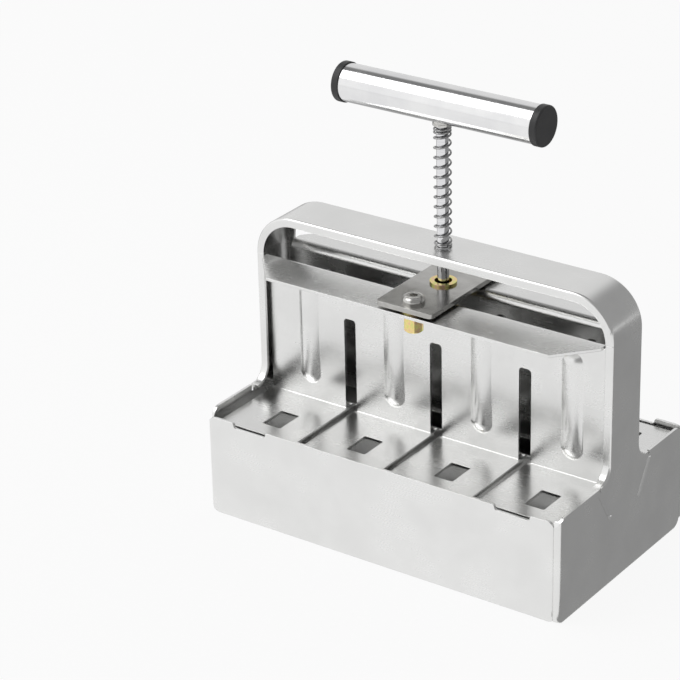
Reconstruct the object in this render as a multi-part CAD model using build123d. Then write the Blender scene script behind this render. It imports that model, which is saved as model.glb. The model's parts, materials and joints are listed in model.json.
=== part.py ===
from build123d import *
import math
import os

# Hand tool that presses potting soil into blocks: an open grid box of sheet steel below a bent
# arch frame, and a plunger with a T handle and a return spring that pushes the blocks out.
# Millimetres, +Z up, +X along the box, origin at the bottom centre.

# ---- box ---------------------------------------------------------------------------------------
sheet = 1.5                    # every outer sheet and the plunger sheets
divider_sheet = 1.2            # thinner sheet of the walls inside the box
box_length = 210.0
box_width = 121.0
rim_height = 57.0
wall_drop = 2.5                # how far the rims of the long walls lie below those of the end plates
corner_bend = 3.0              # outer radius of the upright corner bends
return_length = 1.0            # flat of a sheet past its corner bend
corner_round = 6.0             # rounding of the box's corners, seen on each sheet
wall_seam_round = 3.5          # of a long wall's corners beside its seam
round_short = 0.1              # how far short of its full arc each rounding ends
wall_base_short = 1.2          # the fuller bottom corners beside a long side's seam: of the wall
plate_base_short = 2.9         # and of the end plate
seam_groove = 0.5              # groove along the welded seams between long walls and end plates
cells_per_row = 4
divider_drop = 3.0             # how far the inner walls end below the rim
divider_shift = 1.9            # dividers stand this far to the right of an even spacing
middle_gap = 14.2              # clear width between the two rows of cells

# ---- notches in the rims of the long walls, at the end cells -----------------------------------
notch_width = 20.0
notch_depth = 2.8
notch_bottom_round = 1.7
notch_lip_round = 1.0

# ---- legs and arch of the frame ----------------------------------------------------------------
leg_depth = 27.8
lip_depth = 4.5                # inward fold along both edges of leg and arch
fold_edge_left = 0.1           # what the outer rounding of these folds leaves of the sheet
leg_root_round = 9.0
relief_slit = 1.2
relief_depth = 3.5
crease_radius = 1.9            # crease pressed into the end face, from each slit down towards the leg
crease_depth = 1.1
crease_inward = 9.5            # how far it runs towards the leg's middle
crease_drop = 16.0             # and downwards
arch_top = 151.2
arch_bend = 23.0               # outer radius of the two bends between legs and top

# ---- plunger sheets ----------------------------------------------------------------------------
stroke = 47.4                  # how far the plunger moves down from rest
web_play = 0.4                 # play between a plunger web and the inner wall behind it
end_play = 0.7                 # play between a plunger sheet and the folds of the legs
foot_play = 2.0                # play between a foot plate and the long wall
slot_end_play = 1.0            # slot left above a divider at the end of the stroke
flange_top = 127.7
flange_depth = 27.6
flange_bend = 4.5              # outer radius of the bend between flange and web
foot_bend = 1.9                # and between web and foot plates
flange_cut_depth = 20.0        # slanting cut of the flange's corners, across the flange
flange_cut_length = 17.4       # and along it
foot_drop = 5.4                # foot plates lie this far below the rim at rest
foot_gap = 4.6                 # between two foot plates, around a divider
web_slot_width = 7.0
web_slot_round = 2.0
foot_hole_width = 11.2
foot_hole_depth = 16.6
foot_hole_round = 1.0
foot_hole_from_web = 28.9
foot_hole_shift = 4.2          # holes stand this far to the right of an even spacing
bead_shift = 2.8               # and so do the beads
bead_width = 12.0
bead_height = 2.5
bead_above_foot = 8.9
bead_below_flange = 9.5
bead_root_round = 0.8          # where a bead runs out into the web

# ---- fasteners and yoke ------------------------------------------------------------------------
rod_radius = 3.0
rod_play = 0.6                 # around the rod in the arch
rod_end_chamfer = 0.5
thread_play = 0.05             # between threads and between rivet nuts and their holes
screw_radius = 3.0
screw_place = 26.3             # from the middle of the tool
screw_hole_play = 0.2
screw_head_radius = 5.8
screw_head_height = 3.3
screw_head_rim = 0.7           # straight rim below the rounding of the head
screw_length = 16.0
socket_flats = 4.0
socket_depth = 2.2
nut_flange = 1.2               # thickness of every rivet nut's flange
nut_flange_radius = 6.6        # of the hex nuts
nut_wall = 1.7                 # between thread and flats of the hex rivet nuts
nut_corner = 5.15              # radius that the hex nuts' corners are turned down to
nut_chamfer = 0.9
nut_length = 12.0
yoke_width = 32.8
yoke_length = 71.0
yoke_sheet = 2.5
yoke_corner = 2.5
yoke_nut_wall = 2.5
yoke_nut_flange_radius = 6.85
yoke_nut_length = 11.0
yoke_nut_mouth = 1.4           # how much wider the mouth is than the rod, each side
yoke_nut_mouth_depth = 5.0
rod_below_nut = 1.5            # how far the rod reaches below the yoke nut

# ---- handle ------------------------------------------------------------------------------------
handle_radius = 9.65
handle_wall = 1.2
handle_length = 117.5
cap_thickness = 4.0
cap_overhang = 0.55
cap_rim_round = 1.0
cap_plug = 12.0
handle_nut_flange_radius = 4.8
handle_nut_wall = 1.5
handle_nut_length = 8.5
rod_in_handle = 9.5

# ---- return spring -----------------------------------------------------------------------------
wire_radius = 0.5
coil_play = 0.55               # between rod and coils
spring_play = 0.3              # between coils and handle nut, so that the two bodies stay apart
spring_spare = 0.35            # height left above the closed coils at the end of the stroke
close_pitch = 1.6
bottom_close_turns = 1.0
open_turns = 11.0
top_close_turns = 2.5

# ---- sizes that follow -------------------------------------------------------------------------
half_length = box_length / 2
half_width = box_width / 2
wall_inside = half_width - sheet
end_inside = half_length - sheet
wall_height = rim_height - wall_drop
divider_height = rim_height - divider_drop
cell_length = (2 * end_inside - (cells_per_row - 1) * divider_sheet) / cells_per_row
cell_pitch = cell_length + divider_sheet
inner_wall_back = middle_gap / 2
inner_wall_face = inner_wall_back + divider_sheet
arch_joint = arch_top - arch_bend              # height where leg and arch are welded
fold_round = sheet - fold_edge_left
panel_end = half_length - corner_bend - return_length     # seam on a long side
plate_end = half_width - corner_bend - return_length      # seam on an end face
wall_seam_rim = (wall_seam_round, round_short)
wall_seam_base = (wall_seam_round, wall_base_short)
plate_seam_base = (corner_round, plate_base_short)
usual_round = (corner_round, round_short)
web_back = inner_wall_face + web_play
web_front = web_back + sheet
flange_edge = web_back + flange_depth
plunger_reach = half_length - lip_depth - end_play
foot_top = rim_height - foot_drop
foot_edge = wall_inside - foot_play
web_slot_top = divider_height + stroke + slot_end_play
bead_radius = (bead_width ** 2 / 4 + bead_height ** 2) / (2 * bead_height)
bead_axis = web_front + bead_height - bead_radius
yoke_bottom = flange_top + nut_flange
yoke_top = yoke_bottom + yoke_sheet
nut_flats = 2 * (screw_radius + nut_wall)
yoke_nut_bottom = yoke_top - yoke_nut_length
yoke_nut_radius = rod_radius + yoke_nut_wall
handle_nut_radius = rod_radius + handle_nut_wall
coil_radius = rod_radius + coil_play + wire_radius
total_turns = bottom_close_turns + open_turns + top_close_turns
solid_height = (total_turns + 1) * 2 * wire_radius
free_length = solid_height + stroke + spring_spare
close_rise = (bottom_close_turns + top_close_turns) * close_pitch
open_pitch = (free_length - 2 * wire_radius - close_rise) / open_turns
handle_nut_bottom = arch_top + free_length + spring_play
handle_bottom = handle_nut_bottom + nut_flange
handle_height = handle_bottom + handle_radius
handle_tube_end = handle_length / 2 - cap_thickness
past = 1.0                     # cutting tools run this far past what they cut

os.makedirs("parts", exist_ok=True)


def save(part, name):
    part.label = name
    export_step(part, os.path.join("parts", name + ".step"))


def block(x_range, y_range, z_range):
    # a box between two values along each axis, in either order
    ranges = (x_range, y_range, z_range)
    size = [abs(high - low) for low, high in ranges]
    middle = [(low + high) / 2 for low, high in ranges]
    return Pos(*middle) * Box(*size)


def upright(radius, bottom, top, y=0.0):
    # round bar along Z
    return Pos(0, y, (bottom + top) / 2) * Cylinder(radius, top - bottom)


def lying(radius, start, end):
    # round bar along X on the handle's axis
    return Pos((start + end) / 2, 0, handle_height) * Rot(0, 90, 0) * Cylinder(radius, end - start)


def hexagon(flats):
    return RegularPolygon(flats / 2, 6, major_radius=False)


def thick_along_x(sketch, x_from, x_to):
    # a sketch drawn in Y and Z
    return Pos(x_from, 0, 0) * extrude(Plane.YZ * sketch, x_to - x_from)


def thick_along_y(sketch, y_from, y_to):
    # a sketch drawn in X and Z
    return Pos(0, y_to, 0) * extrude(Plane.XZ * sketch, y_to - y_from)


def divider_places():
    middle = (cells_per_row - 2) / 2
    return [(i - middle) * cell_pitch + divider_shift for i in range(cells_per_row - 1)]


def cell_places():
    # even places along a row, one for each cell
    middle = (cells_per_row - 1) / 2
    return [(i - middle) * cell_pitch for i in range(cells_per_row)]


# ---- the box's outer sheets: each has one free end and one end bent round a corner -------------
def corner_arc(place, side, level, up, rounding):
    # arc from a level edge to a sheet's upright end, which may cut it short; start, middle and end
    radius, short = rounding
    reach = radius - short
    last = math.acos(reach / radius)
    angles = (math.pi / 2, (math.pi / 2 + last) / 2, last)
    middle_x = place - side * reach
    middle_z = level - up * radius
    return [(middle_x + side * radius * math.cos(a), middle_z + up * radius * math.sin(a))
            for a in angles]


def sheet_view(low, low_base, low_rim, high, high_base, high_rim, height):
    # an upright sheet seen flat, with its four corners rounded
    low_bottom = corner_arc(low, -1, 0, -1, low_base)
    low_top = corner_arc(low, -1, height, 1, low_rim)
    high_bottom = corner_arc(high, 1, 0, -1, high_base)
    high_top = corner_arc(high, 1, height, 1, high_rim)
    return make_face(Wire([
        Line(low_bottom[0], high_bottom[0]),
        ThreePointArc(*high_bottom),
        Line(high_bottom[2], high_top[2]),
        ThreePointArc(*reversed(high_top)),
        Line(high_top[0], low_top[0]),
        ThreePointArc(*low_top),
        Line(low_top[2], low_bottom[2]),
        ThreePointArc(*reversed(low_bottom)),
    ]))


def box_ring():
    ring = RectangleRounded(box_length, box_width, corner_bend)
    inside = RectangleRounded(box_length - 2 * sheet, box_width - 2 * sheet, corner_bend - sheet)
    return extrude(ring - inside, rim_height)


def groove_seam(sheet_part, x, y):
    # the sheet's upright outer edge at x and y takes half of a seam's groove
    edges = [e for e in sheet_part.edges().filter_by(Axis.Z)
             if abs(e.center().X - x) < 0.01 and abs(e.center().Y - y) < 0.01]
    return chamfer(edges, seam_groove)


# ---- end plates: box end, leg and its folded lips in one sheet ---------------------------------
def leg_outline(inset):
    # the leg with its flared root, in Y and Z, drawn in from its edge by the inset
    edge = leg_depth / 2 - inset
    reach = leg_depth / 2 + leg_root_round
    radius = leg_root_round + inset
    root = rim_height - inset
    base = rim_height - leg_root_round
    rest = radius * (1 - math.cos(math.pi / 4))
    half = make_face(Wire([
        Line((0, base), (reach, base)),
        Line((reach, base), (reach, root)),
        ThreePointArc((reach, root), (edge + rest, root + rest), (edge, root + radius)),
        Line((edge, root + radius), (edge, arch_joint)),
        Line((edge, arch_joint), (0, arch_joint)),
        Line((0, arch_joint), (0, base)),
    ]))
    return half + mirror(half, Plane.YZ)


def crease(turn):
    # cutter for the crease: a thin bar with ball ends, mostly outside the end face
    start = leg_depth / 2 + leg_root_round + relief_slit / 2
    top = rim_height - relief_depth
    x = half_length + crease_radius - crease_depth
    bar = Line((x, turn * start, top), (x, turn * (start - crease_inward), top - crease_drop))
    cutter = sweep(Plane(origin=bar @ 0, z_dir=bar % 0) * Circle(crease_radius), path=bar)
    for end in (bar @ 0, bar @ 1):
        cutter = cutter + Pos(*end) * Sphere(crease_radius)
    return cutter


def end_plate(side):
    # bent round the front corner at the right end, and round the rear corner at the left end
    tray = box_ring() & block((panel_end, half_length), (-half_width, plate_end), (0, rim_height))
    view = sheet_view(-half_width, plate_seam_base, usual_round,
                      plate_end, usual_round, usual_round, rim_height)
    tray = tray & thick_along_x(view, panel_end, half_length)
    tray = groove_seam(tray, panel_end, -half_width)
    tray = groove_seam(tray, half_length, plate_end)
    leg = thick_along_x(leg_outline(0), half_length - sheet, half_length)
    lip_view = leg_outline(0) - leg_outline(sheet)
    lips = thick_along_x(lip_view, half_length - lip_depth, half_length - sheet)
    leg = leg + lips
    folds = [e for e in leg.edges() if abs(e.center().X - half_length) < 0.01
             and e.center().Z > rim_height and e.length > leg_root_round
             and e.center().Z < arch_joint - past]
    leg = fillet(folds, fold_round)
    lip_space = block((0, half_length - sheet), (-box_width, box_width), (0, rim_height - sheet))
    plate = tray + (leg - lip_space)
    slit_start = leg_depth / 2 + leg_root_round
    slit_depth = (rim_height - relief_depth, rim_height + past)
    for turn in (-1, 1):
        slit_width = (turn * slit_start, turn * (slit_start + relief_slit))
        plate = plate - block((panel_end - lip_depth, half_length + past), slit_width, slit_depth)
        plate = plate - crease(turn)
    if side < 0:
        plate = Rot(0, 0, 180) * plate
    return plate


# ---- arch: top of the frame with its two bends, a channel like the legs ------------------------
def arch_outline(inset):
    side = half_length - inset
    top = arch_top - inset
    radius = arch_bend - inset
    rest = radius * (1 - math.cos(math.pi / 4))
    return make_face(Wire([
        ThreePointArc((-side, arch_joint), (-side + rest, top - rest), (-side + radius, top)),
        Line((-side + radius, top), (side - radius, top)),
        ThreePointArc((side - radius, top), (side - rest, top - rest), (side, arch_joint)),
        Line((side, arch_joint), (-side, arch_joint)),
    ]))


def on_outer_side(point):
    # whether a point between the leg joints lies on the outside of the arch or of its bends
    if point.Z > arch_top - 0.01:
        return True
    out = abs(point.X) - (half_length - arch_bend)
    return out > 0 and math.hypot(out, point.Z - arch_joint) > arch_bend - sheet / 2


def top_arch():
    edge = leg_depth / 2
    arch = thick_along_y(arch_outline(0) - arch_outline(sheet), -edge, edge)
    lip_view = arch_outline(0) - arch_outline(lip_depth)
    for start in (-edge, edge - sheet):
        arch = arch + thick_along_y(lip_view, start, start + sheet)
    folds = [e for e in arch.edges()
             if on_outer_side(e.center()) and abs(abs(e.center().Y) - edge) < 0.01]
    arch = fillet(folds, fold_round)
    return arch - upright(rod_radius + rod_play, arch_top - sheet - past, arch_top + past)


# ---- long walls and inner walls ----------------------------------------------------------------
def long_wall(side):
    # bent round the left corner at the front, and round the right corner at the rear
    wall = box_ring() & block((-half_length, panel_end), (-half_width, -plate_end), (0, wall_height))
    view = sheet_view(-half_length, usual_round, usual_round,
                      panel_end, wall_seam_base, wall_seam_rim, wall_height)
    end_cells = (cell_places()[0], cell_places()[-1])
    for place in end_cells:
        notch = RectangleRounded(notch_width, 2 * notch_depth, notch_bottom_round)
        view = view - Pos(place, wall_height) * notch
    lips = [v for v in view.vertices() if v.Y > wall_height - 0.01
            and any(abs(abs(v.X - place) - notch_width / 2) < 0.01 for place in end_cells)]
    view = fillet(lips, notch_lip_round)
    wall = wall & thick_along_y(view, -half_width, -plate_end)
    wall = groove_seam(wall, panel_end, -half_width)
    wall = groove_seam(wall, -half_length, -plate_end)
    if side > 0:
        wall = Rot(0, 0, 180) * wall
    return wall


def inner_wall(side):
    faces = (side * inner_wall_back, side * inner_wall_face)
    return block((-end_inside, end_inside), faces, (0, divider_height))


def cell_divider(side, x):
    half = divider_sheet / 2
    faces = (side * inner_wall_face, side * wall_inside)
    return block((x - half, x + half), faces, (0, divider_height))


# ---- plunger sheets: flange, web and four foot plates bent from one sheet ----------------------
def plunger_section():
    # seen from its end, in Y and Z: flange outwards, web down, foot outwards
    section = make_face(Polyline(
        (web_back, flange_top),
        (flange_edge, flange_top),
        (flange_edge, flange_top - sheet),
        (web_front, flange_top - sheet),
        (web_front, foot_top),
        (foot_edge, foot_top),
        (foot_edge, foot_top - sheet),
        (web_back, foot_top - sheet),
        close=True,
    ))
    middle = (flange_top + foot_top) / 2
    for radius, upper in ((flange_bend, True), (foot_bend, False)):
        half = [v for v in section.vertices() if (v.Y > middle) == upper]
        section = fillet([v for v in half if abs(v.X - web_back) < 0.01], radius)
        half = [v for v in section.vertices() if (v.Y > middle) == upper]
        section = fillet([v for v in half if abs(v.X - web_front) < 0.01], radius - sheet)
    return section


def flange_outline():
    # the flange with its slanting corners, in X and Y, and wide enough over the foot plates
    cut_start = flange_edge - flange_cut_depth
    return make_face(Polyline(
        (-plunger_reach, web_back),
        (-plunger_reach, cut_start),
        (-plunger_reach + flange_cut_length, flange_edge),
        (plunger_reach - flange_cut_length, flange_edge),
        (plunger_reach, cut_start),
        (plunger_reach, web_back),
        close=True,
    ))


def capsule(radius, x):
    # round bar along a bead's axis, with ball ends
    low = foot_top + bead_above_foot + bead_width / 2
    high = flange_top - bead_below_flange - bead_width / 2
    bar = Pos(x, bead_axis, (low + high) / 2) * Cylinder(radius, high - low)
    return bar + Pos(x, bead_axis, low) * Sphere(radius) + Pos(x, bead_axis, high) * Sphere(radius)


def press_bead(body, x):
    # stiffening bead: a rounded ridge on the front of the web and the groove behind it
    web_height = (foot_top + foot_bend, flange_top - flange_bend)
    around = (x - bead_width, x + bead_width)
    ridge = capsule(bead_radius, x) & block(around, (web_front - sheet / 2, half_width), web_height)
    groove = capsule(bead_radius - sheet, x) & block(around, (web_back - past, half_width), web_height)
    body = body + ridge
    roots = [e for e in body.edges() if abs(e.center().Y - web_front) < 0.01
             and abs(e.center().X - x) < bead_width * 0.7
             and e.center().Z > foot_top + bead_above_foot - past
             and e.center().Z < flange_top - bead_below_flange + past
             and e.geom_type != GeomType.OTHER]
    return fillet(roots, bead_root_round) - groove


def plunger(side):
    body = thick_along_x(plunger_section(), -plunger_reach, plunger_reach)
    above = (flange_top + foot_top) / 2
    below = block((-half_length, half_length), (0, half_width), (0, above))
    flange_space = Pos(0, 0, above) * extrude(flange_outline(), flange_top - above)
    body = body & (below + flange_space)
    for x in divider_places():
        slot = Pos(x, 0) * RectangleRounded(web_slot_width, 2 * web_slot_top, web_slot_round)
        body = body - thick_along_y(slot, web_back - past, web_front + foot_bend - sheet)
        sides = (x - foot_gap / 2, x + foot_gap / 2)
        body = body - block(sides, (web_back - past, half_width), (0, foot_top + foot_bend))
    hole_place = web_front + foot_hole_from_web
    for x in cell_places():
        hole = Pos(x + foot_hole_shift, hole_place, foot_top - sheet - past) * extrude(
            RectangleRounded(foot_hole_width, foot_hole_depth, foot_hole_round), sheet + 2 * past
        )
        body = press_bead(body - hole, x + bead_shift)
    nut_hole = Pos(0, screw_place, flange_top - sheet - past) * extrude(
        hexagon(nut_flats + 2 * thread_play), sheet + 2 * past
    )
    body = body - nut_hole
    if side < 0:
        body = mirror(body, Plane.XZ)
    return body


# ---- yoke, its screws and the rivet nuts -------------------------------------------------------
def yoke_plate():
    plate = RectangleRounded(yoke_width, yoke_length, yoke_corner)
    plate = plate - Circle(yoke_nut_radius + thread_play)
    for side in (-1, 1):
        plate = plate - Pos(0, side * screw_place) * Circle(screw_radius + screw_hole_play)
    return Pos(0, 0, yoke_bottom) * extrude(plate, yoke_sheet)


def yoke_screw(y):
    # button head with a hexagon socket
    head_top = yoke_top + screw_head_height
    head = upright(screw_head_radius, yoke_top, head_top, y)
    head = fillet(head.edges().sort_by(Axis.Z)[-1], screw_head_height - screw_head_rim)
    socket = Pos(0, y, head_top - socket_depth) * extrude(hexagon(socket_flats), socket_depth + past)
    shank = upright(screw_radius, yoke_top - screw_length, yoke_top, y)
    return head - socket + shank


def hex_rivet_nut(y):
    bottom = flange_top - nut_length
    flange = upright(nut_flange_radius, flange_top, yoke_bottom, y)
    turned = upright(nut_corner, bottom, flange_top, y)
    turned = chamfer(turned.edges().filter_by(GeomType.CIRCLE).sort_by(Axis.Z)[0], nut_chamfer)
    body = turned & Pos(0, y, bottom) * extrude(hexagon(nut_flats), nut_length)
    bore = upright(screw_radius + thread_play, bottom - past, yoke_bottom + past, y)
    return flange + body - bore


def yoke_nut():
    top = yoke_top + nut_flange
    flange = upright(yoke_nut_flange_radius, yoke_top, top)
    body = upright(yoke_nut_radius, yoke_nut_bottom, yoke_top)
    bore = upright(rod_radius + thread_play, yoke_nut_bottom - past, top + past)
    mouth = upright(rod_radius + yoke_nut_mouth, yoke_top - yoke_nut_mouth_depth, top + past)
    return flange + body - bore - mouth


def handle_nut():
    top = handle_bottom + handle_nut_length
    flange = upright(handle_nut_flange_radius, handle_nut_bottom, handle_bottom)
    body = upright(handle_nut_radius, handle_bottom, top)
    bore = upright(rod_radius + thread_play, handle_nut_bottom - past, top + past)
    return flange + body - bore


def push_rod():
    rod = upright(rod_radius, yoke_nut_bottom - rod_below_nut, handle_bottom + rod_in_handle)
    return chamfer(rod.edges().filter_by(GeomType.CIRCLE), rod_end_chamfer)


# ---- handle ------------------------------------------------------------------------------------
def handle_tube():
    tube = lying(handle_radius, -handle_tube_end, handle_tube_end)
    inside = handle_radius - handle_wall
    tube = tube - lying(inside, -handle_tube_end - past, handle_tube_end + past)
    return tube - upright(handle_nut_radius + thread_play, handle_bottom - past, handle_height)


def handle_cap(side):
    end = handle_length / 2
    head = lying(handle_radius + cap_overhang, handle_tube_end, end)
    head = fillet(head.edges().filter_by(GeomType.CIRCLE).sort_by(Axis.X)[-1], cap_rim_round)
    plug_radius = handle_radius - handle_wall - thread_play
    cap = head + lying(plug_radius, handle_tube_end - cap_plug, handle_tube_end)
    if side < 0:
        cap = mirror(cap, Plane.YZ)
    return cap


# ---- return spring -----------------------------------------------------------------------------
def wire_height(turns):
    # close turns at both ends, open turns between them
    low = min(turns, bottom_close_turns) * close_pitch
    middle = min(max(turns - bottom_close_turns, 0), open_turns) * open_pitch
    high = max(turns - bottom_close_turns - open_turns, 0) * close_pitch
    return arch_top + wire_radius + low + middle + high


def wire_point(turns):
    angle = 2 * math.pi * turns
    return Vector(coil_radius * math.cos(angle), coil_radius * math.sin(angle), wire_height(turns))


def wire_direction(turns):
    # its slope is the mean of the pitch just below and just above
    low = max(turns - 0.01, 0)
    high = min(turns + 0.01, total_turns)
    pitch = (wire_height(high) - wire_height(low)) / (high - low)
    angle = 2 * math.pi * turns
    around = 2 * math.pi * coil_radius
    return Vector(-around * math.sin(angle), around * math.cos(angle), pitch).normalized()


def biarc(start, start_way, end, end_way):
    # two arcs that leave and arrive along the given directions
    chord = end - start
    spread = 2 * (1 - start_way.dot(end_way))
    along = chord.dot(start_way + end_way)
    reach = (math.sqrt(along ** 2 + spread * chord.dot(chord)) - along) / spread
    first = start + start_way * reach
    last = end - end_way * reach
    middle = (first + last) * 0.5
    return [
        Edge.make_tangent_arc(start, start_way, middle),
        Edge.make_tangent_arc(middle, (last - first).normalized(), end),
    ]


def spring_path():
    # one unbroken wire: a straight end, half turns, and a straight end
    straight = 2 * wire_radius
    start = wire_point(0)
    edges = [Edge.make_line(start - wire_direction(0) * straight, start)]
    for i in range(round(2 * total_turns)):
        low = i / 2
        high = (i + 1) / 2
        edges += biarc(wire_point(low), wire_direction(low), wire_point(high), wire_direction(high))
    end = edges[-1] @ 1
    edges.append(Edge.make_line(end, end + wire_direction(total_turns) * straight))
    return Wire(edges)


def return_spring():
    path = spring_path()
    section = Plane(origin=path @ 0, z_dir=path % 0) * Circle(wire_radius)
    spring = sweep(section, path=path)
    tube_volume = math.pi * wire_radius ** 2 * path.length
    print("spring volume", round(spring.volume, 1), "section times length", round(tube_volume, 1))
    return spring


def spring_gap():
    # least gap between turns, measured on points along the wire
    steps = 48
    points = [wire_point(i / steps) for i in range(round(total_turns * steps) + 1)]
    least = free_length
    for i, point in enumerate(points):
        for other in points[i + steps // 2:i + 3 * steps]:
            least = min(least, (point - other).length)
    return least - 2 * wire_radius


# ---- write every piece -------------------------------------------------------------------------
save(end_plate(-1), "left_end_plate")
save(end_plate(1), "right_end_plate")
save(top_arch(), "top_arch")
for row, side in (("front", -1), ("rear", 1)):
    save(long_wall(side), row + "_wall")
    save(inner_wall(side), row + "_inner_wall")
    for number, x in enumerate(divider_places(), start=1):
        save(cell_divider(side, x), row + "_cell_divider_" + str(number))
    save(plunger(side), row + "_plunger")
save(yoke_plate(), "yoke_plate")
save(Compound([yoke_screw(-screw_place), yoke_screw(screw_place)]), "yoke_screws")
save(Compound([hex_rivet_nut(-screw_place), hex_rivet_nut(screw_place)]), "plunger_rivet_nuts")
save(yoke_nut(), "yoke_rivet_nut")
save(push_rod(), "push_rod")
save(handle_nut(), "handle_rivet_nut")
save(handle_tube(), "handle_tube")
save(handle_cap(-1), "left_handle_cap")
save(handle_cap(1), "right_handle_cap")
save(return_spring(), "return_spring")
print("spring least gap between turns", round(spring_gap(), 2), "mm")
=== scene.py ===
import json
import math

import bpy
from mathutils import Matrix, Vector


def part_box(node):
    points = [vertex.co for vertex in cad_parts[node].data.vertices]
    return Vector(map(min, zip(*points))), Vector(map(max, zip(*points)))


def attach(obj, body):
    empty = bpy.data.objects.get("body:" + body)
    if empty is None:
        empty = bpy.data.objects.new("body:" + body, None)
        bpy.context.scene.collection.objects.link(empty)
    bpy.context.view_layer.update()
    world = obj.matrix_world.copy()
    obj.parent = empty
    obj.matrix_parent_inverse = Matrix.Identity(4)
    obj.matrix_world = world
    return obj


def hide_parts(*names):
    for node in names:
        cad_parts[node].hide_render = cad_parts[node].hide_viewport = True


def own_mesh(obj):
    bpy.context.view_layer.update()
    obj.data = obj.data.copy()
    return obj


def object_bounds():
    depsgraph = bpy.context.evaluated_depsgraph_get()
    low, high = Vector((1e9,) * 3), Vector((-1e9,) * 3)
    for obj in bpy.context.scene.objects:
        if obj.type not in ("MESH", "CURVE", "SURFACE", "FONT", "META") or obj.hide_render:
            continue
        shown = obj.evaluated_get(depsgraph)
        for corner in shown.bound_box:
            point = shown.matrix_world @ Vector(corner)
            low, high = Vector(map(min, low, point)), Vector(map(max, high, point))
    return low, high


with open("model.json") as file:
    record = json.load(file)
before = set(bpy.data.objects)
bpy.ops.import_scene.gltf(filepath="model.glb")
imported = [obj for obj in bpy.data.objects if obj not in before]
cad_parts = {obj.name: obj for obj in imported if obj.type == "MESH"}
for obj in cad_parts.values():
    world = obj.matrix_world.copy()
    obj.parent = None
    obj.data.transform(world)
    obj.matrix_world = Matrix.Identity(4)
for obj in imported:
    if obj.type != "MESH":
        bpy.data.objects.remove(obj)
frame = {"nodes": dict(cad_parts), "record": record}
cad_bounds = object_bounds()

# Soil blocker: the CAD solids keep their shapes and get their metal finishes here, the spring is
# wound anew as a smooth wire, and a small studio with a camera stands around it. Metres.

MM = 0.001
nodes = frame["nodes"]
scene = bpy.context.scene


# ---- colours and shader nodes ------------------------------------------------------------------
def linear(hex_colour):
    """sRGB hex to the linear red, green, blue and alpha that shaders take."""
    parts = [int(hex_colour[i:i + 2], 16) / 255 for i in (1, 3, 5)]
    return tuple(c / 12.92 if c <= 0.04045 else ((c + 0.055) / 1.055) ** 2.4
                 for c in parts) + (1.0,)


def add_node(tree, kind, settings=None, values=None, links=None):
    """A shader node with its settings, its input values and links from other nodes' outputs."""
    node = tree.nodes.new(kind)
    for name, value in (settings or {}).items():
        setattr(node, name, value)
    for name, value in (values or {}).items():
        node.inputs[name].default_value = value
    for name, source in (links or {}).items():
        tree.links.new(source, node.inputs[name])
    return node


def new_material(name):
    """A material with only its output and a principled shader."""
    material = bpy.data.materials.new(name)
    material.use_nodes = True
    tree = material.node_tree
    tree.nodes.clear()
    shader = add_node(tree, "ShaderNodeBsdfPrincipled")
    add_node(tree, "ShaderNodeOutputMaterial", links={"Surface": shader.outputs["BSDF"]})
    return material, tree, shader


def grain(tree, size, detail=3.0):
    """Irregular light and dark, from 0 to 1, in lumps of the given size in millimetres."""
    place = add_node(tree, "ShaderNodeTexCoord")
    scale = tuple(1 / (s * MM) for s in size)
    squeezed = add_node(tree, "ShaderNodeMapping", values={"Scale": scale},
                        links={"Vector": place.outputs["Object"]})
    lumps = add_node(tree, "ShaderNodeTexNoise", values={"Scale": 1.0, "Detail": detail},
                     links={"Vector": squeezed.outputs["Vector"]})
    return lumps.outputs["Fac"]


def spread(tree, pattern, low, high, start=0.35, end=0.65):
    """The pattern drawn out so that it runs from low to high."""
    ranges = {"From Min": start, "From Max": end, "To Min": low, "To Max": high}
    drawn_out = add_node(tree, "ShaderNodeMapRange", values=ranges, links={"Value": pattern})
    return drawn_out.outputs["Result"]


def together(tree, operation, first, second):
    """Two patterns joined by one operation."""
    joined = add_node(tree, "ShaderNodeMath", {"operation": operation}, links={0: first, 1: second})
    return joined.outputs["Value"]


def tinted(tree, pattern, dark, light):
    """The pattern as a colour, from the dark hex value to the light one."""
    ramp = add_node(tree, "ShaderNodeValToRGB", links={"Fac": pattern})
    ramp.color_ramp.elements[0].color = linear(dark)
    ramp.color_ramp.elements[1].color = linear(light)
    return ramp.outputs["Color"]


def metal_colour(tree, shader, pattern, dark, light):
    """Bare metal that runs from the dark hex value to the light one with the pattern."""
    shader.inputs["Metallic"].default_value = 1.0
    colour = tinted(tree, spread(tree, pattern, 0, 1), dark, light)
    tree.links.new(colour, shader.inputs["Base Color"])


def relief(tree, shader, pattern, depth, strength=1.0, edge_round=0.0):
    """Fine relief of the given depth in millimetres; cut edges may look rounded by edge_round."""
    bump = add_node(tree, "ShaderNodeBump", values={"Strength": strength, "Distance": depth * MM},
                    links={"Height": pattern})
    if edge_round:
        rounded = add_node(tree, "ShaderNodeBevel", {"samples": 6}, {"Radius": edge_round * MM})
        tree.links.new(rounded.outputs["Normal"], bump.inputs["Normal"])
    tree.links.new(bump.outputs["Normal"], shader.inputs["Normal"])


# ---- finishes ----------------------------------------------------------------------------------
def cold_rolled_stainless(name, light, dark, roughness, smudge_size, edge_round):
    """Cold-rolled stainless sheet, as bent and spot-welded: a silky grey mirror that blurs what it
    shows, drawn out a little along the rolling direction, with faint cloudy handling smudges."""
    material, tree, shader = new_material(name)
    roll_lines = grain(tree, (70, 0.45, 0.45), 2.0)       # rolling lines, coarser than real to show
    smudges = grain(tree, (smudge_size, smudge_size, smudge_size), 4.0)
    metal_colour(tree, shader, smudges, dark, light)
    gloss = together(tree, "ADD", spread(tree, smudges, roughness * 0.88, roughness * 1.15),
                     spread(tree, roll_lines, -0.015, 0.015))
    tree.links.new(gloss, shader.inputs["Roughness"])
    relief(tree, shader, roll_lines, 0.004, 0.35, edge_round)
    return material


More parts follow.
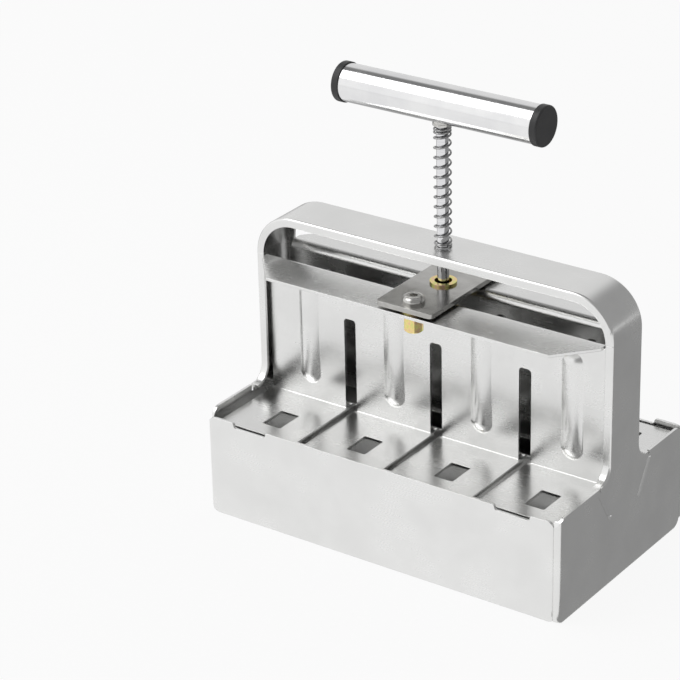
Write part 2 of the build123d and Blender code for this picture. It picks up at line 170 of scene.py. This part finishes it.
def brushed_plated_plate():
    """Zinc-plated steel plate, belt-brushed before plating: darker and warmer than the stainless
    sheet, with short brush lines across the tool and cloudy patches from the bath."""
    material, tree, shader = new_material("brushed_zinc_plated_plate")
    brush_lines = grain(tree, (0.35, 14, 0.35), 2.0)
    clouds = grain(tree, (9, 9, 9), 4.0)
    metal_colour(tree, shader, clouds, "#A9A8A5", "#BCBBB8")
    gloss = together(tree, "ADD", spread(tree, clouds, 0.15, 0.22),
                     spread(tree, brush_lines, -0.02, 0.02))
    tree.links.new(gloss, shader.inputs["Roughness"])
    relief(tree, shader, brush_lines, 0.004, 0.4, 0.35)
    return material


def polished_tube():
    """Welded stainless tube, mirror-polished along its length: long clean bands of light and dark
    with hair-fine polishing lines."""
    material, tree, shader = new_material("length_polished_stainless_tube")
    polish_lines = grain(tree, (45, 0.3, 0.3), 2.0)
    haze = grain(tree, (14, 14, 14), 3.0)
    metal_colour(tree, shader, haze, "#E6E6E7", "#F0F0F0")
    gloss = together(tree, "ADD", spread(tree, haze, 0.10, 0.15),
                     spread(tree, polish_lines, -0.02, 0.02))
    tree.links.new(gloss, shader.inputs["Roughness"])
    relief(tree, shader, polish_lines, 0.002, 0.3)
    return material


def chromed_rod():
    """Hard-chromed and ground rod: almost a mirror, with faint grinding rings around it."""
    material, tree, shader = new_material("ground_chromed_rod")
    rings = grain(tree, (12, 12, 0.25), 2.0)
    metal_colour(tree, shader, rings, "#DDDDE0", "#EDEDEE")
    tree.links.new(spread(tree, rings, 0.06, 0.11), shader.inputs["Roughness"])
    relief(tree, shader, rings, 0.001, 0.3)
    return material


def drawn_spring_wire():
    """Drawn spring steel wire, bright zinc-plated: small sharp highlights and darker drawing
    streaks along the wire."""
    material, tree, shader = new_material("drawn_zinc_plated_spring_wire")
    streaks = grain(tree, (1.6, 1.6, 0.5), 3.0)
    metal_colour(tree, shader, streaks, "#8A8A8C", "#B9B9B8")
    tree.links.new(spread(tree, streaks, 0.16, 0.28), shader.inputs["Roughness"])
    relief(tree, shader, streaks, 0.006, 0.4)
    return material


def yellow_passivated_zinc():
    """Zinc-plated steel, yellow passivated: pale gold with patches that run to pink and green, as
    thin passivation films do."""
    material, tree, shader = new_material("yellow_passivated_zinc")
    film = grain(tree, (2.6, 2.6, 3.4), 2.0)
    colours = add_node(tree, "ShaderNodeValToRGB",
                       links={"Fac": spread(tree, film, 0, 1, 0.3, 0.7)})
    stops = colours.color_ramp.elements
    stops[0].color = linear("#E8BFA8")
    stops[1].color = linear("#D3DD86")
    middle = stops.new(0.45)
    middle.color = linear("#F0DA93")
    shader.inputs["Metallic"].default_value = 1.0
    tree.links.new(colours.outputs["Color"], shader.inputs["Base Color"])
    tree.links.new(spread(tree, film, 0.10, 0.18), shader.inputs["Roughness"])
    relief(tree, shader, film, 0.01, 0.3, 0.2)
    return material


def nickel_plated_screw():
    """Cold-headed screw, bright nickel-plated: a mirror dome with slight orange-peel waviness."""
    material, tree, shader = new_material("bright_nickel_plated_screw")
    waves = grain(tree, (1.1, 1.1, 1.1), 2.0)
    metal_colour(tree, shader, waves, "#BFBEBB", "#D6D5D2")
    tree.links.new(spread(tree, waves, 0.05, 0.10), shader.inputs["Roughness"])
    relief(tree, shader, waves, 0.01, 0.25, 0.2)
    return material


def moulded_polythene():
    """Black polythene, injection-moulded with spark-eroded texture: dark grey, with a soft sheen
    broken up by a fine even grit."""
    material, tree, shader = new_material("moulded_black_polythene")
    grit = grain(tree, (0.35, 0.35, 0.35), 2.0)           # spark-eroded grit, coarser than real
    flow = grain(tree, (11, 11, 11), 3.0)
    colour = tinted(tree, spread(tree, flow, 0, 1), "#303031", "#3B3B3C")
    tree.links.new(colour, shader.inputs["Base Color"])
    gloss = together(tree, "ADD", spread(tree, flow, 0.42, 0.52), spread(tree, grit, -0.06, 0.06))
    tree.links.new(gloss, shader.inputs["Roughness"])
    relief(tree, shader, grit, 0.02, 0.5, 0.3)
    return material


CUT_EDGE_ROUND = 0.3                # deburred edges of the cut sheets, in millimetres
finishes = {
    "frame_steel": cold_rolled_stainless("cold_rolled_stainless_box", "#EFEFEE", "#E8E8E7",
                                         0.24, 26, CUT_EDGE_ROUND),
    "plunger_steel": cold_rolled_stainless("cold_rolled_stainless_plunger", "#EEEEED", "#E6E6E5",
                                           0.25, 18, CUT_EDGE_ROUND),
    "yoke_steel": brushed_plated_plate(),
    "screw_steel": nickel_plated_screw(),
    "yellow_zinc": yellow_passivated_zinc(),
    "rod_chrome": chromed_rod(),
    "spring_wire": drawn_spring_wire(),
    "handle_steel": polished_tube(),
    "cap_plastic": moulded_polythene(),
}
for row in frame["record"]["subparts"]:
    solid = nodes[row["node"]]
    solid.data.materials.clear()
    solid.data.materials.append(finishes[row["material_slot"]])


# ---- return spring -----------------------------------------------------------------------------
WIRE_RADIUS = 0.5 * MM
CLOSE_PITCH = 1.6 * MM              # of the closed turns at both ends
BOTTOM_CLOSE_TURNS = 1.0
OPEN_TURNS = 11.0
TOP_CLOSE_TURNS = 2.5
STEPS_PER_TURN = 32
WIRE_SIDES = 12
END_RING_SHARES = (0.5, 0.85)       # where the rings of the wire's rounded ends lie, of its radius

spring_low, spring_high = (Vector(corner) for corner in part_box("return_spring"))
coil_radius = (spring_high.x - spring_low.x) / 2 - WIRE_RADIUS
spring_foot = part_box("top_arch")[1][2]
total_turns = BOTTOM_CLOSE_TURNS + OPEN_TURNS + TOP_CLOSE_TURNS
wire_rise = spring_high.z - spring_foot - 2 * WIRE_RADIUS
close_rise = (BOTTOM_CLOSE_TURNS + TOP_CLOSE_TURNS) * CLOSE_PITCH
open_pitch = (wire_rise - close_rise) / OPEN_TURNS


def ease(share):
    """0 to 1, slow at both ends."""
    share = min(max(share, 0.0), 1.0)
    return share * share * (3 - 2 * share)


def pitch_at(turn):
    """The wire's rise per turn: close at both ends, and opening and closing over half a turn."""
    opening = ease(turn - BOTTOM_CLOSE_TURNS + 0.5)
    closing = ease(turn - BOTTOM_CLOSE_TURNS - OPEN_TURNS + 0.5)
    return CLOSE_PITCH + (open_pitch - CLOSE_PITCH) * (opening - closing)


def spring_wire_points():
    """The middle of the wire, from the arch up to the handle nut."""
    points = []
    height = spring_foot + WIRE_RADIUS
    for step in range(round(total_turns * STEPS_PER_TURN) + 1):
        turn = step / STEPS_PER_TURN
        angle = 2 * math.pi * turn
        points.append(Vector((coil_radius * math.cos(angle), coil_radius * math.sin(angle),
                              height)))
        height += pitch_at(turn + 0.5 / STEPS_PER_TURN) / STEPS_PER_TURN
    return points


def wire_mesh(name, points, radius, sides):
    """A round wire along the points, with rounded ends."""
    rings = []
    last = len(points) - 1
    for i, point in enumerate(points):
        along = (points[min(i + 1, last)] - points[max(i - 1, 0)]).normalized()
        out = Vector((point.x, point.y, 0)).normalized()
        across = along.cross(out).normalized()
        out = across.cross(along).normalized()
        rings.append((point, along, out, across, radius))
    first, final = rings[0], rings[-1]
    for share in END_RING_SHARES:
        small = radius * math.sqrt(1 - share * share)
        rings.insert(0, (first[0] - first[1] * radius * share, *first[1:4], small))
        rings.append((final[0] + final[1] * radius * share, *final[1:4], small))
    vertices, faces = [], []
    for point, along, out, across, ring_radius in rings:
        for side in range(sides):
            angle = 2 * math.pi * side / sides
            vertices.append(point + (out * math.cos(angle) + across * math.sin(angle)) * ring_radius)
    for ring in range(len(rings) - 1):
        for side in range(sides):
            near, far = ring * sides, (ring + 1) * sides
            after = (side + 1) % sides
            faces.append((near + side, near + after, far + after, far + side))
    faces.append(tuple(reversed(range(sides))))
    faces.append(tuple(range(len(vertices) - sides, len(vertices))))
    mesh = bpy.data.meshes.new(name)
    mesh.from_pydata(vertices, [], faces)
    mesh.shade_smooth()
    mesh.update()
    return mesh


def add_piece(mesh, body, slot):
    """An object for the mesh that moves with the body and has the slot's finish."""
    piece = bpy.data.objects.new(mesh.name, mesh)
    scene.collection.objects.link(piece)
    mesh.materials.append(finishes[slot])
    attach(piece, body)
    return piece


spring = add_piece(wire_mesh("wound_return_spring", spring_wire_points(), WIRE_RADIUS, WIRE_SIDES),
                   "frame", "spring_wire")
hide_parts("return_spring")
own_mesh(spring)


# ---- camera ------------------------------------------------------------------------------------
AZIMUTH, ELEVATION, ROLL = (math.radians(a) for a in (35.84, 25.52, -1.40))
TARGET = Vector((-61.15, -3.65, 85.48)) * MM
DISTANCE = 1425.77 * MM
SENSOR = 36.0
FOCAL_PIXELS = 2787.69              # for a picture 680 pixels wide
PICTURE_WIDTH = 680
VIEW_END = 20                       # metres, past the far edge of the floor

away = Vector((math.sin(AZIMUTH) * math.cos(ELEVATION), -math.cos(AZIMUTH) * math.cos(ELEVATION),
               math.sin(ELEVATION)))
level_right = (-away).cross(Vector((0, 0, 1))).normalized()
level_up = level_right.cross(-away)
camera_right = level_right * math.cos(ROLL) + level_up * math.sin(ROLL)
camera_up = level_up * math.cos(ROLL) - level_right * math.sin(ROLL)
camera_data = bpy.data.cameras.new("photo_camera")
camera_data.sensor_width = SENSOR
camera_data.lens = FOCAL_PIXELS / PICTURE_WIDTH * SENSOR
camera_data.clip_end = VIEW_END
camera = bpy.data.objects.new("photo_camera", camera_data)
turn_matrix = Matrix((camera_right, camera_up, away)).transposed().to_4x4()
camera.matrix_world = Matrix.Translation(TARGET + away * DISTANCE) @ turn_matrix
scene.collection.objects.link(camera)
scene.camera = camera


# ---- studio: paper floor, two grey boards and a dark sheet of painted shade, white tent, one softbox ---
def stage_sheet(name, x_range, y_range, height, material):
    """A flat sheet lying in the studio."""
    (x0, x1), (y0, y1) = x_range, y_range
    mesh = bpy.data.meshes.new(name)
    mesh.from_pydata([(x0, y0, height), (x1, y0, height), (x1, y1, height), (x0, y1, height)], [],
                     [(0, 1, 2, 3)])
    mesh.materials.append(material)
    sheet = bpy.data.objects.new(name, mesh)
    scene.collection.objects.link(sheet)
    return sheet


FLOOR_HALF = 6.0
FLOOR_GAP = 0.2 * MM
PAPER_SEEN_WHITE = 0.9              # share of plain white that the camera sees on the paper
PAPER_GLOSSY_WHITE = 0.81           # and that the metal shows
paper, tree, shader = new_material("pale_background_paper")
paper_fibres = grain(tree, (3, 3, 3), 3.0)
fibre_colour = tinted(tree, spread(tree, paper_fibres, 0, 1), "#EFEFEF", "#F4F4F4")
tree.links.new(fibre_colour, shader.inputs["Base Color"])
shader.inputs["Roughness"].default_value = 0.9
shader.inputs["Specular IOR Level"].default_value = 0.0
ray = add_node(tree, "ShaderNodeLightPath")
white = add_node(tree, "ShaderNodeEmission", values={"Color": (1, 1, 1, 1), "Strength": 1.0})
seen = add_node(tree, "ShaderNodeMath", {"operation": "MULTIPLY"}, {1: PAPER_SEEN_WHITE},
                {0: ray.outputs["Is Camera Ray"]})
mirrored = add_node(tree, "ShaderNodeMath", {"operation": "MULTIPLY"}, {1: PAPER_GLOSSY_WHITE},
                    {0: ray.outputs["Is Glossy Ray"]})
share = together(tree, "MAXIMUM", seen.outputs["Value"], mirrored.outputs["Value"])
mixed = add_node(tree, "ShaderNodeMixShader", links={0: share, 1: shader.outputs["BSDF"],
                                                     2: white.outputs["Emission"]})
output = next(node for node in tree.nodes if node.type == "OUTPUT_MATERIAL")
tree.links.new(mixed.outputs["Shader"], output.inputs["Surface"])
stage_sheet("studio_floor", (-FLOOR_HALF, FLOOR_HALF), (-FLOOR_HALF, FLOOR_HALF), -FLOOR_GAP,
            paper)

# painted shade: grey boards beside the right end and behind, which only the metal shows, stand in
# for shaded floor and keep it from looking white all round; a dark sheet of painted shade lies under
# the box, and the cells below the foot plates mirror it
BOARD_FROM_BOX = 4 * MM
BOARD_HEIGHT = 0.3 * MM             # just above the paper
BOARD_END = 1.5
RIGHT_PAINTED_SHADE_TONE = 0.30
REAR_PAINTED_SHADE_TONE = 0.42
(box_left, box_front, _), (box_right, box_rear, _) = cad_bounds


def painted_shade_board(name, x_range, y_range, tone):
    """A board of painted shade that glows evenly grey, for mirrored rays alone, in place of shaded
    floor.
    """
    grey, tree, shader = new_material(name)
    glow = add_node(tree, "ShaderNodeEmission", values={"Color": (1, 1, 1, 1), "Strength": tone})
    output = next(node for node in tree.nodes if node.type == "OUTPUT_MATERIAL")
    tree.links.new(glow.outputs["Emission"], output.inputs["Surface"])
    board = stage_sheet(name, x_range, y_range, BOARD_HEIGHT, grey)
    for ray_kind in ("camera", "diffuse", "shadow", "transmission", "volume_scatter"):
        setattr(board, "visible_" + ray_kind, False)


# painted shade: grey glowing boards that the metal mirrors in place of the shaded floor to the right
# and behind
painted_shade_board("right_painted_shade_board", (box_right, BOARD_END),
                 (box_front - BOARD_FROM_BOX, BOARD_END), RIGHT_PAINTED_SHADE_TONE)
painted_shade_board("rear_painted_shade_board", (-BOARD_END, box_right + BOARD_FROM_BOX),
                 (box_rear + BOARD_FROM_BOX, BOARD_END), REAR_PAINTED_SHADE_TONE)

# painted shade: a near-black sheet under the box stands in for the shade inside it, seen through the
# foot plates' holes and mirrored in the cells
painted_shade_sheet_material, tree, shader = new_material("painted_shade_under_box")
shade_sheet_grain = grain(tree, (1.5, 1.5, 1.5), 2.0)
tree.links.new(tinted(tree, shade_sheet_grain, "#242424", "#343434"), shader.inputs["Base Color"])
shader.inputs["Roughness"].default_value = 0.8
# drawn in this far, the painted-shade sheet is out of sight below the box's rounded corners, but the
# paper that this uncovers turns the foot plates' holes grey; with 1.5 mm they were nearly black
SHADE_SHEET_INSET = 8 * MM
stage_sheet("painted_shade_sheet", (box_left + SHADE_SHEET_INSET, box_right - SHADE_SHEET_INSET),
            (box_front + SHADE_SHEET_INSET, box_rear - SHADE_SHEET_INSET), -FLOOR_GAP / 2, painted_shade_sheet_material)

# the tent: white seen directly, an even fill for matt surfaces, and for the metal a white front
# and left, a duller back, a dark ceiling behind the handle and a dark right side
FILL = 0.5
SEEN_WHITE = 1.0
TENT_FRONT, TENT_BACK, TENT_CEILING, TENT_RIGHT = 1.0, 0.78, 0.22, 0.34
world = bpy.data.worlds.new("studio_tent")
scene.world = world
world.use_nodes = True
tree = world.node_tree
tree.nodes.clear()
place = add_node(tree, "ShaderNodeTexCoord")
way = add_node(tree, "ShaderNodeSeparateXYZ", links={"Vector": place.outputs["Generated"]})


def tent_step(axis, start, end):
    """0 before the start and 1 after the end of a direction's share along an axis."""
    values = {"From Min": start, "From Max": end}
    return add_node(tree, "ShaderNodeMapRange", {"interpolation_type": "SMOOTHSTEP"}, values,
                    {"Value": way.outputs[axis]}).outputs["Result"]


def tent_mix(before, after, factor):
    """One tone of the tent running into another; each is a number or a socket."""
    mix = add_node(tree, "ShaderNodeMix", {"data_type": "FLOAT"}, links={"Factor": factor})
    for name, tone in (("A", before), ("B", after)):
        if isinstance(tone, float):
            mix.inputs[name].default_value = tone
        else:
            tree.links.new(tone, mix.inputs[name])
    return mix.outputs["Result"]


# where each part of the tent starts and is full, as shares of a direction's length
BACK_STEP = ("Y", -0.15, 0.15)
CEILING_UP_STEP = ("Z", 0.65, 0.78)
CEILING_BACK_STEP = ("Y", -0.30, 0.02)
RIGHT_STEP = ("X", -0.22, 0.14)
tent = tent_mix(TENT_FRONT, TENT_BACK, tent_step(*BACK_STEP))
ceiling = together(tree, "MULTIPLY", tent_step(*CEILING_UP_STEP), tent_step(*CEILING_BACK_STEP))
tent = tent_mix(tent, TENT_CEILING, ceiling)
tent = tent_mix(tent, TENT_RIGHT, tent_step(*RIGHT_STEP))
ray = add_node(tree, "ShaderNodeLightPath")
mirror_ray = together(tree, "MAXIMUM", ray.outputs["Is Glossy Ray"],
                      ray.outputs["Is Transmission Ray"])
strength = tent_mix(FILL, tent, mirror_ray)
strength = tent_mix(strength, SEEN_WHITE, ray.outputs["Is Camera Ray"])
sky = add_node(tree, "ShaderNodeBackground", values={"Color": (1, 1, 1, 1)},
               links={"Strength": strength})
add_node(tree, "ShaderNodeOutputWorld", links={"Surface": sky.outputs["Background"]})


LAMP_AIM_HEIGHT = 90 * MM           # on the tool's middle line


def softbox(name, direction, distance, size, watts):
    """A square softbox that faces the tool from a distance; distance and size in metres."""
    data = bpy.data.lights.new(name, "AREA")
    data.shape = "SQUARE"
    data.size = size
    data.energy = watts
    box = bpy.data.objects.new(name, data)
    aim = Vector((0, 0, LAMP_AIM_HEIGHT))
    box.location = aim + Vector(direction).normalized() * distance
    box.rotation_euler = (aim - box.location).to_track_quat("-Z", "Y").to_euler()
    scene.collection.objects.link(box)


softbox("front_left_softbox", (-0.50, -0.30, 0.81), 1.7, 1.0, 7)

scene.view_settings.view_transform = "Standard"
